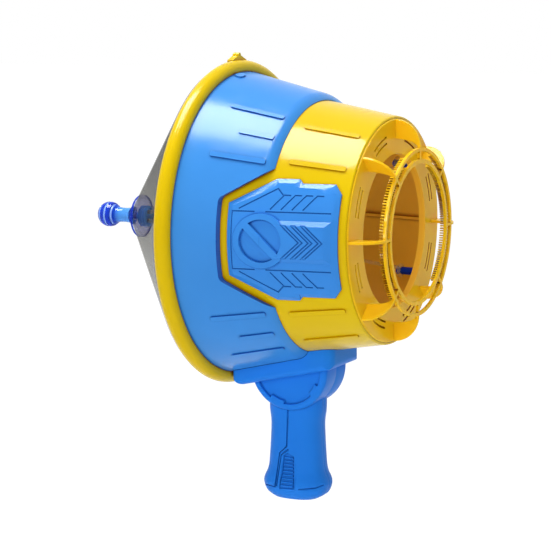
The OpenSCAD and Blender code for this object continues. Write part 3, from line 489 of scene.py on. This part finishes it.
def tube(points, radii, sides, closed):
    verts, faces = [], []
    n = len(points)
    up = Vector((0.2, 0.3, 0.9))                 # no cord runs this way
    for k in range(n):
        a = Vector(points[k - 1]) if (k > 0 or closed) else Vector(points[0])
        b = Vector(points[(k + 1) % n]) if (k < n - 1 or closed) else Vector(points[-1])
        along = (b - a).normalized()
        across = along.cross(up).normalized()
        other = along.cross(across)
        for i in range(sides):
            t = 2 * math.pi * i / sides
            verts.append(Vector(points[k]) + (across * math.cos(t) + other * math.sin(t)) * radii[k])
    for k in range(n if closed else n - 1):
        m = (k + 1) % n
        for i in range(sides):
            j = (i + 1) % sides
            faces.append((k * sides + i, k * sides + j, m * sides + j, m * sides + i))
    if not closed:
        faces.append(tuple(reversed(range(sides))))
        faces.append(tuple((n - 1) * sides + i for i in range(sides)))
    return verts, faces


def cordPiece(index):
    angle = math.radians(cord["angles"][index])
    points, radii = [], []
    for k in range(cord["rows"] + 1):
        u = k / cord["rows"]
        points.append(onBarrel(cord["fromS"] + (cord["toS"] - cord["fromS"]) * u,
                               cord["fromR"] + (cord["toR"] - cord["fromR"]) * u, angle))
        radii.append(cord["r"] * (1 - cord["thinner"] * math.sin(math.pi * u)))
    verts, faces = tube(points, radii, cord["sides"], False)
    eye = []
    middle = Vector(onBarrel(cord["toS"], cord["pegR"], angle))
    out = Vector((0, -math.sin(angle), math.cos(angle)))
    side = Vector((0, math.cos(angle), math.sin(angle)))
    for k in range(cord["loopRows"]):
        t = 2 * math.pi * k / cord["loopRows"]
        eye.append(middle + out * math.cos(t) * cord["loopR"] + side * math.sin(t) * cord["loopR"])
    eyeVerts, eyeFaces = tube(eye, [cord["r"]] * cord["loopRows"], cord["sides"], True)
    first = len(verts)
    faces += [tuple(first + i for i in f) for f in eyeFaces]
    obj = meshObject("cord%d" % (index + 1), verts + eyeVerts, faces, elasticMat, "elastic")
    obj.data.shade_smooth()
    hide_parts("elastic_cord_%d" % (index + 1))
    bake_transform(obj)


for i in range(len(cord["angles"])):
    cordPiece(i)
print("cords:", len(cord["angles"]))

# the grip and the knuckle above it, in mm: keys are heights with half depth and half width,
# and grooves and pad are (x, z) lines cut into a side
handle = {"keys": [(39.2, 22.3, 16.6), (27.2, 22.1, 16.8), (15.2, 20.7, 17), (-10, 22, 17.4),
                   (-20, 23.3, 17.8), (-27, 26.3, 19.5), (-31.5, 26.8, 19.9), (-38, 24.2, 17.9),
                   (-42, 18.2, 14.4)],
          "power": 0.8, "wide": 27, "sharp": math.radians(34),
          "part": 0.07, "seam": 0.35, "seamDeep": 0.12,                # the halves meet in a fine line
          "kneeZ": 61.2, "kneeR": 32.6, "kneeHalf": 19.2, "kneeLap": 0.02, "edge": 3.5,
          "cutZ": 55.15, "cutTilt": math.radians(13.4),
          "grooves": [[(-0.6, 31), (-1.5, 0), (-7.7, -5.7), (-10.8, -32.7), (-22, -33)],
                      [(-0.7, -2.4), (-6.3, -7.2), (-9.2, -31.4)],
                      [(10, -32.4), (22, -31), (25.8, -29.6)]],
          "grooveW": 1.05, "grooveDeep": 0.95, "grooveFloor": 0.4,
          "pad": [(-0.4, -4.9), (-4.2, -7.1), (-7.3, -33.7), (6.2, -32.9), (5, -7.5)], "padDeep": 1.1,
          "ribs": 9, "ribPitch": 2.75, "ribW": 1.5, "ribFrom": 2.0, "ribInset": 1.0, "ribUnder": 0.1,
          "panelR": 27.8, "panelIn": 25.3, "panelDeep": 2.0,
          "panelArcs": [(-97, -44), (-200, -122), (-24, 60)],          # degrees
          "wall": 0.5, "ribWall": 0.4}                                 # run of the sloping walls
gripMesh = {"step": 1.7, "quickStep": 3.0, "kneeStep": 2.2, "kneeSides": 120, "quickKneeSides": 72,
            "fromLines": 0.5, "fromRim": 0.8, "panelTurn": 2, "edgeTurn": 15, "keySteps": 12,
            "near": 1e-4, "nearRim": 1e-3}
laps = (-360, 0, 360)

keys = np.array([handle["keys"][0]] + handle["keys"] + [handle["keys"][-1]], float)
curve = []
for i in range(1, len(keys) - 2):                # smooth line through the keys
    a, b, c, d = keys[i - 1:i + 3]
    for u in np.linspace(0, 1, gripMesh["keySteps"], endpoint=False):
        curve.append(0.5 * (2 * b + (c - a) * u + (2 * a - 5 * b + 4 * c - d) * u ** 2
                            + (3 * b - a - 3 * c + d) * u ** 3))
curve = np.array(curve + [keys[-1]])[::-1]


def halfDepth(z):
    return float(np.interp(z, curve[:, 0], curve[:, 1]))


def halfWidth(z):
    return float(np.interp(z, curve[:, 0], curve[:, 2]))


# a point of the side view becomes a distance round the grip, from its front edge
def unrolled(x, z):
    share = max(-1.0, min(1.0, x / halfDepth(z)))
    return handle["wide"] * math.acos(math.copysign(abs(share) ** (1 / handle["power"]), share)), z


def ease(v):
    v = np.clip(v, 0, 1)
    return v * v * (3 - 2 * v)


def lineDistance(points, line, closed=False):
    line = np.asarray(line, float)
    ends = np.roll(line, -1, axis=0) if closed else line[1:]
    best = np.full(len(points), np.inf)
    for a, b in zip(line, ends):
        ab = b - a
        u = np.clip(((points - a) @ ab) / max(ab @ ab, 1e-12), 0, 1)
        best = np.minimum(best, np.linalg.norm(points - a - u[:, None] * ab, axis=1))
    return best


# direction square to a side of an outline, towards the outline's middle
def inward(a, b, middle):
    n = np.array([a[1] - b[1], b[0] - a[0]]) / np.linalg.norm(b - a)
    return n if (middle - a) @ n > 0 else -n


# inside depth of a convex outline, from its nearest side
def depthIn(points, outline):
    outline = np.asarray(outline, float)
    middle = outline.mean(axis=0)
    best = np.full(len(points), np.inf)
    for a, b in zip(outline, np.roll(outline, -1, axis=0)):
        best = np.minimum(best, (points - a) @ inward(a, b, middle))
    return best


# step from a corner that keeps the distance d from both sides
def mitred(normals, d):
    mitre = sum(normals) / np.linalg.norm(sum(normals))
    return mitre * d / (mitre @ normals[0])


# outline that runs at a distance round an open line
def lineOutline(line, d):
    line = [np.array(q, float) for q in line]
    sides = ([], [])
    for i, q in enumerate(line):
        runs = []
        if i > 0:
            runs.append((q - line[i - 1]) / np.linalg.norm(q - line[i - 1]))
        if i < len(line) - 1:
            runs.append((line[i + 1] - q) / np.linalg.norm(line[i + 1] - q))
        aside = mitred([np.array([-r[1], r[0]]) for r in runs], d)
        if i == 0:
            q = q - runs[0] * d
        if i == len(line) - 1:
            q = q + runs[-1] * d
        sides[0].append(q + aside)
        sides[1].append(q - aside)
    return sides[0] + sides[1][::-1]


def shrunk(outline, d):
    outline = [np.array(q, float) for q in outline]
    middle = sum(outline) / len(outline)
    out = []
    for i, q in enumerate(outline):
        after = outline[(i + 1) % len(outline)]
        out.append(q + mitred([inward(outline[i - 1], q, middle), inward(q, after, middle)], d))
    return out


# flat triangles over a region, with the border and the relief's outlines kept as fixed lines
def triangles(border, outlines, loose):
    points, edges = [], []
    loose = np.array(loose, float)
    for outline in [border] + outlines:
        first = len(points)
        points += [Vector((float(q[0]), float(q[1]))) for q in outline]
        n = len(outline)
        edges += [(first + i, first + (i + 1) % n) for i in range(n)]
        loose = loose[lineDistance(loose, outline, True) > gripMesh["fromLines"]]
    points += [Vector((float(q[0]), float(q[1]))) for q in loose]
    found = delaunay_2d_cdt(points, edges, [], 0, 1e-5)
    return np.array([tuple(v) for v in found[0]]), [tuple(f) for f in found[2]]


# the bars across the pad, each as wide as the pad is at its height
def padRibs():
    bottomLeft, bottomRight = handle["pad"][2], handle["pad"][3]
    topLeft, topRight = handle["pad"][1], handle["pad"][4]
    half = handle["ribW"] / 2
    ribs = []
    for k in range(handle["ribs"]):
        z = bottomRight[1] + handle["ribFrom"] + handle["ribPitch"] * k
        f = (z - bottomRight[1]) / (topRight[1] - bottomRight[1])
        left = bottomLeft[0] + (topLeft[0] - bottomLeft[0]) * f + handle["ribInset"]
        right = bottomRight[0] + (topRight[0] - bottomRight[0]) * f - handle["ribInset"]
        corners = ((left, z - half), (right, z - half), (right, z + half), (left, z + half))
        ribs.append([unrolled(x, h) for x, h in corners])
    return ribs


# how far each point of the unrolled grip lies under its surface
def gripRelief(flat, grooves, pad, ribs, nearEdge):
    half = handle["grooveW"] / 2
    floorHalf = half * handle["grooveFloor"]
    rise = np.zeros(len(flat))
    for g in grooves:
        across = (lineDistance(flat, g) - floorHalf) / (half - floorHalf)
        rise = np.minimum(rise, -handle["grooveDeep"] * (1 - ease(across)))
    well = -handle["padDeep"] * ease(depthIn(flat, pad) / handle["wall"])
    for rib in ribs:
        well += (handle["padDeep"] - handle["ribUnder"]) * ease(depthIn(flat, rib) / handle["ribWall"])
    rise = np.minimum(rise, well)
    return rise - handle["seamDeep"] * np.clip(1 - nearEdge / handle["seam"], 0, 1)


def gripHalf():
    low, high = handle["keys"][-1][0], handle["keys"][0][0]
    width, seam, near = handle["wide"] * math.pi, handle["seam"], gripMesh["near"]
    step = gripMesh["step"]
    across = np.linspace(0, width, int(width / step) + 1)
    upward = np.linspace(low, high, int((high - low) / step) + 1)
    border = ([(u, low) for u in across] + [(width, z) for z in upward[1:]] +
              [(u, high) for u in across[-2::-1]] + [(0, z) for z in upward[-2:0:-1]])
    grooves = [[unrolled(x, z) for x, z in line] for line in handle["grooves"]]
    pad = [unrolled(x, z) for x, z in handle["pad"]]
    ribs = padRibs()
    half = handle["grooveW"] / 2
    outlines = [lineOutline(g, d) for g in grooves for d in (half, half * handle["grooveFloor"])]
    outlines += [pad, shrunk(pad, handle["wall"])]
    for rib in ribs:
        outlines += [rib, shrunk(rib, handle["ribWall"])]
    for u in (seam, width - seam):
        outlines.append([(u, z) for z in upward])
    flat, faces = triangles(border, outlines, [(u, z) for u in across[1:-1] for z in upward[1:-1]])
    nearEdge = np.minimum(flat[:, 0], width - flat[:, 0])
    rise = gripRelief(flat, grooves, pad, ribs, nearEdge)
    slope = 2 / handle["power"] - 1              # exponent of the outline's normal
    verts = []
    for (u, z), h, e in zip(flat, rise, nearEdge):
        a, b = halfDepth(z), halfWidth(z)
        turn = u / handle["wide"]
        c, s = math.cos(turn), max(math.sin(turn), 0)
        x = a * math.copysign(abs(c) ** handle["power"], c)
        y = b * s ** handle["power"]
        out = Vector((math.copysign(abs(x / a) ** slope, x) / a, (y / b) ** slope / b)).normalized()
        y += max(out.y, 0) * h * min(1, e / seam)
        verts.append((x + out.x * h, -(y + handle["part"]), z))
    lowRow = sorted((u, i) for i, (u, z) in enumerate(flat) if z < low + near)
    highRow = sorted((u, i) for i, (u, z) in enumerate(flat) if z > high - near)
    front = sorted((z, i) for i, (u, z) in enumerate(flat) if u < near)
    back = sorted((z, i) for i, (u, z) in enumerate(flat) if u > width - near)
    for row in (lowRow, highRow, front + back[::-1]):        # foot, top, and the flat where the halves meet
        faces.append(tuple(i for place, i in row))
    return verts, faces


# inside depth of the knuckle's sunk panel: a disc with three wider sectors
def panelDepth(points):
    rho = np.hypot(points[:, 0], points[:, 1])
    turn = np.degrees(np.arctan2(points[:, 1], points[:, 0]))
    depth = handle["panelIn"] - rho
    for a, b in handle["panelArcs"]:
        for lap in laps:
            side = np.minimum(turn + lap - a, b - turn - lap)
            depth = np.maximum(depth, np.minimum(handle["panelR"] - rho, np.radians(side) * rho))
    return depth


def panelOutline(inset):
    lean = math.degrees(inset / handle["panelIn"])
    arcs = [(a + lean, b - lean) for a, b in handle["panelArcs"]]
    inner, outer = handle["panelIn"] - inset, handle["panelR"] - inset
    turns = set(range(-180, 180, gripMesh["panelTurn"]))
    turns.update(end for arc in arcs for end in arc if -180 < end < 180)
    line = []
    for k in sorted(turns):
        before = any(a < k - 1e-6 + lap <= b for a, b in arcs for lap in laps)
        after = any(a <= k + 1e-6 + lap < b for a, b in arcs for lap in laps)
        radii = [outer if before else inner]
        if before != after:                      # a sector starts or ends here
            radii.append(outer if after else inner)
        line += [(r * math.cos(math.radians(k)), r * math.sin(math.radians(k))) for r in radii]
    return line


def kneeHalf():
    count = gripMesh["kneeSides"]
    edge, half, big, part = handle["edge"], handle["kneeHalf"], handle["kneeR"], handle["part"]
    inner = big - edge
    turns = [2 * math.pi * k / count for k in range(count)]
    border = [(inner * math.cos(a), inner * math.sin(a)) for a in turns]
    grid = np.arange(-inner, inner, gripMesh["kneeStep"])
    loose = [(x, z) for x in grid for z in grid if math.hypot(x, z) < inner - gripMesh["fromRim"]]
    flat, faces = triangles(border, [panelOutline(0), panelOutline(handle["wall"])], loose)
    rise = -handle["panelDeep"] * ease(panelDepth(flat) / handle["wall"])
    verts = [(x, -(half + h), handle["kneeZ"] + z) for (x, z), h in zip(flat, rise)]
    ring = [i for a, i in sorted((math.atan2(z, x) % (2 * math.pi), i) for i, (x, z) in enumerate(flat)
                                 if abs(math.hypot(x, z) - inner) < gripMesh["nearRim"])]
    angles = [math.atan2(flat[i][1], flat[i][0]) for i in ring]
    n = len(ring)
    profile = []
    for degrees in range(gripMesh["edgeTurn"], 91, gripMesh["edgeTurn"]):          # round edge
        t = math.radians(degrees)
        profile.append((inner + edge * math.sin(t), half - edge + edge * math.cos(t)))
    profile += [(big, part + handle["seam"]), (big - handle["seamDeep"], part - handle["kneeLap"])]
    for r, y in profile:
        first = len(verts)
        verts += [(r * math.cos(a), -y, handle["kneeZ"] + r * math.sin(a)) for a in angles]
        faces += [(ring[i], ring[(i + 1) % n], first + (i + 1) % n, first + i) for i in range(n)]
        ring = list(range(first, first + n))
    faces.append(tuple(ring))
    return verts, faces


# object from a bmesh, which is freed
def bmeshObject(name, bm):
    mesh = bpy.data.meshes.new(name)
    bm.to_mesh(mesh)
    bm.free()
    obj = bpy.data.objects.new(name, mesh)
    scene.collection.objects.link(obj)
    return obj


def solid(name, verts, faces):
    bm = bmesh.new()
    made = [bm.verts.new(Vector(v) / 1000) for v in verts]
    for f in faces:
        bm.faces.new([made[i] for i in f])
    bmesh.ops.recalc_face_normals(bm, faces=bm.faces)
    return bmeshObject(name, bm)


def combine(obj, other, operation):
    mod = obj.modifiers.new("combine", "BOOLEAN")
    mod.object = other
    mod.operation = operation
    mod.solver = "EXACT"
    mesh = bpy.data.meshes.new_from_object(obj.evaluated_get(bpy.context.evaluated_depsgraph_get()))
    obj.modifiers.clear()
    obj.data = mesh
    bpy.data.objects.remove(other)
    return obj


# everything above the saddle's underside is cut away
def cutAtSaddle(obj):
    bm = bmesh.new()
    bm.from_mesh(obj.data)
    tilt = handle["cutTilt"]
    bmesh.ops.bisect_plane(bm, geom=bm.verts[:] + bm.edges[:] + bm.faces[:], dist=1e-7,
                           plane_co=(0, 0, handle["cutZ"] / 1000),
                           plane_no=(-math.sin(tilt), 0, math.cos(tilt)), clear_outer=True)
    bmesh.ops.holes_fill(bm, edges=[e for e in bm.edges if e.is_boundary], sides=0)
    bmesh.ops.recalc_face_normals(bm, faces=bm.faces)
    bm.to_mesh(obj.data)
    bm.free()


# low and high corners of each screw in a CAD node, from the shells that its faces join
def screwBoxes(name):
    bm = bmesh.new()
    bm.from_mesh(nodes[name].data)
    bmesh.ops.remove_doubles(bm, verts=bm.verts, dist=softening["weld"])
    left, boxes = set(bm.verts), []
    while left:
        todo, shell = [left.pop()], []
        while todo:
            v = todo.pop()
            shell.append(nodes[name].matrix_world @ v.co)
            for e in v.link_edges:
                w = e.other_vert(v)
                if w in left:
                    left.discard(w)
                    todo.append(w)
        boxes.append((Vector([min(q[i] for q in shell) for i in range(3)]),
                      Vector([max(q[i] for q in shell) for i in range(3)])))
    bm.free()
    return boxes


# shares are of a screw head's radius
screwHole = {"shankShare": 0.55, "beyond": 0.0008, "wellShare": 1.12, "wellDeep": 0.0022, "wellTo": 0.03,
             "sides": 40}


def rod(bm, start, end, r):
    turn = (end - start).to_track_quat("Z", "Y").to_matrix().to_4x4()
    bmesh.ops.create_cone(bm, cap_ends=True, segments=screwHole["sides"], radius1=r, radius2=r,
                          depth=(end - start).length, matrix=Matrix.Translation((start + end) / 2) @ turn)


# holes for the screws that cross the halves, with a well for each head on the left side
def screwHoles(name):
    bm = bmesh.new()
    for low, high in screwBoxes("grip_screws"):
        x, z = (low.x + high.x) / 2, (low.z + high.z) / 2
        r = (high.x - low.x) / 2
        rod(bm, Vector((x, low.y - screwHole["beyond"], z)), Vector((x, high.y, z)),
            r * screwHole["shankShare"])
        rod(bm, Vector((x, high.y - screwHole["wellDeep"], z)), Vector((x, screwHole["wellTo"], z)),
            r * screwHole["wellShare"])
    return bmeshObject(name, bm)


rightHalf = combine(solid("gripRight", *gripHalf()), solid("knee", *kneeHalf()), "UNION")
cutAtSaddle(rightHalf)
leftHalf = rightHalf.copy()
leftHalf.name = "gripLeft"
leftHalf.data = rightHalf.data.copy()
leftHalf.data.transform(Matrix.Scale(-1, 4, (0, 1, 0)))
leftHalf.data.flip_normals()
scene.collection.objects.link(leftHalf)
for obj, node in ((rightHalf, "grip_right"), (leftHalf, "grip_left")):
    combine(obj, screwHoles("holes"), "DIFFERENCE")
    obj.data.materials.clear()
    obj.data.materials.append(handleMat)
    obj.data.shade_smooth()
    obj.data.set_sharp_from_angle(angle=handle["sharp"])
    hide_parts(node)
    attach(obj, "barrel")
print("handle halves: %d and %d faces" % (len(rightHalf.data.polygons), len(leftHalf.data.polygons)))


# 1 for the rays that see the white room: the camera's, and those that gloss and clear plastic send on
def whiteRays(tree):
    seen = tree.nodes.new("ShaderNodeLightPath")
    rays = seen.outputs["Is Camera Ray"]
    for other in ("Is Glossy Ray", "Is Transmission Ray"):
        either = tree.nodes.new("ShaderNodeMath")
        either.operation = "MAXIMUM"
        tree.links.new(rays, either.inputs[0])
        tree.links.new(seen.outputs[other], either.inputs[1])
        rays = either.outputs[0]
    return rays


# the floor keeps a fifth of its own shading, so that the object's shadow shows on the white
studio = {"floorZ": -0.3, "floorHalf": 14, "floorGrey": 0.9, "whiteShare": 0.8, "whiteGlow": 1.16,
          "fill": 0.5, "white": 1.0}
plainWhite = (1, 1, 1, 1)

half, floorZ = studio["floorHalf"], studio["floorZ"]
corners = [(-half, -half, floorZ), (half, -half, floorZ), (half, half, floorZ), (-half, half, floorZ)]
floorMesh = bpy.data.meshes.new("floor")
floorMesh.from_pydata(corners, [], [(0, 1, 2, 3)])
floor = bpy.data.objects.new("floor", floorMesh)
scene.collection.objects.link(floor)
floorMat, tree = newMaterial("paleFloor")
matte = add(tree, "ShaderNodeBsdfDiffuse", Color=(studio["floorGrey"],) * 3 + (1,))
glow = add(tree, "ShaderNodeEmission", Color=plainWhite, Strength=studio["whiteGlow"])
share = tree.nodes.new("ShaderNodeMath")
share.operation = "MULTIPLY"
share.inputs[1].default_value = studio["whiteShare"]
tree.links.new(whiteRays(tree), share.inputs[0])
showSurface(tree, mixShaders(tree, share.outputs[0], matte, glow))
floorMesh.materials.append(floorMat)

world = bpy.data.worlds.new("studio")
scene.world = world
world.use_nodes = True
tree = world.node_tree
tree.nodes.clear()
fill = add(tree, "ShaderNodeBackground", Color=plainWhite, Strength=studio["fill"])
white = add(tree, "ShaderNodeBackground", Color=plainWhite, Strength=studio["white"])
showSurface(tree, mixShaders(tree, whiteRays(tree), fill, white), "ShaderNodeOutputWorld")


def turnTo(obj, place, aim):
    obj.location = place
    obj.rotation_euler = (Vector(aim) - Vector(place)).to_track_quat("-Z", "Y").to_euler()


def softbox(name, place, aim, size, watts):
    light = bpy.data.lights.new(name, "AREA")
    light.shape = "RECTANGLE"
    light.size, light.size_y = size
    light.energy = watts
    obj = bpy.data.objects.new(name, light)
    scene.collection.objects.link(obj)
    turnTo(obj, place, aim)
    return obj


# the overhead box lights the object, and a second one just below it gives the highlight along the drum
overhead = softbox("overhead", place=(-0.3, -0.2, 1.7), aim=(-0.3, -0.2, 0), size=(1.4, 0.83), watts=26)
overhead.visible_glossy = False
gleam = softbox("gleam", place=(-0.3, -0.2, 1.68), aim=(-0.3, -0.2, 0), size=(1.4, 0.83), watts=135)
gleam.visible_diffuse = False
front = softbox("front", place=(0.45, -2.6, 0.9), aim=(0, 0, 0.15), size=(1.2, 1.2), watts=25)
front.visible_glossy = False
scene.cycles.transparent_max_bounces = 24        # film, washer and saucer lie behind one another

view = {"place": (0.65574, -1.32189, 0.34416), "aim": (-0.02, 0, 0.1298),
        "lens": 126.62, "sensor": 36, "far": 60}
camera = bpy.data.objects.new("camera", bpy.data.cameras.new("camera"))
scene.collection.objects.link(camera)
camera.data.lens = view["lens"]
camera.data.sensor_width = view["sensor"]
camera.data.clip_end = view["far"]
turnTo(camera, view["place"], view["aim"])
scene.camera = camera
scene.view_settings.view_transform = "Standard"
print("stage ready")
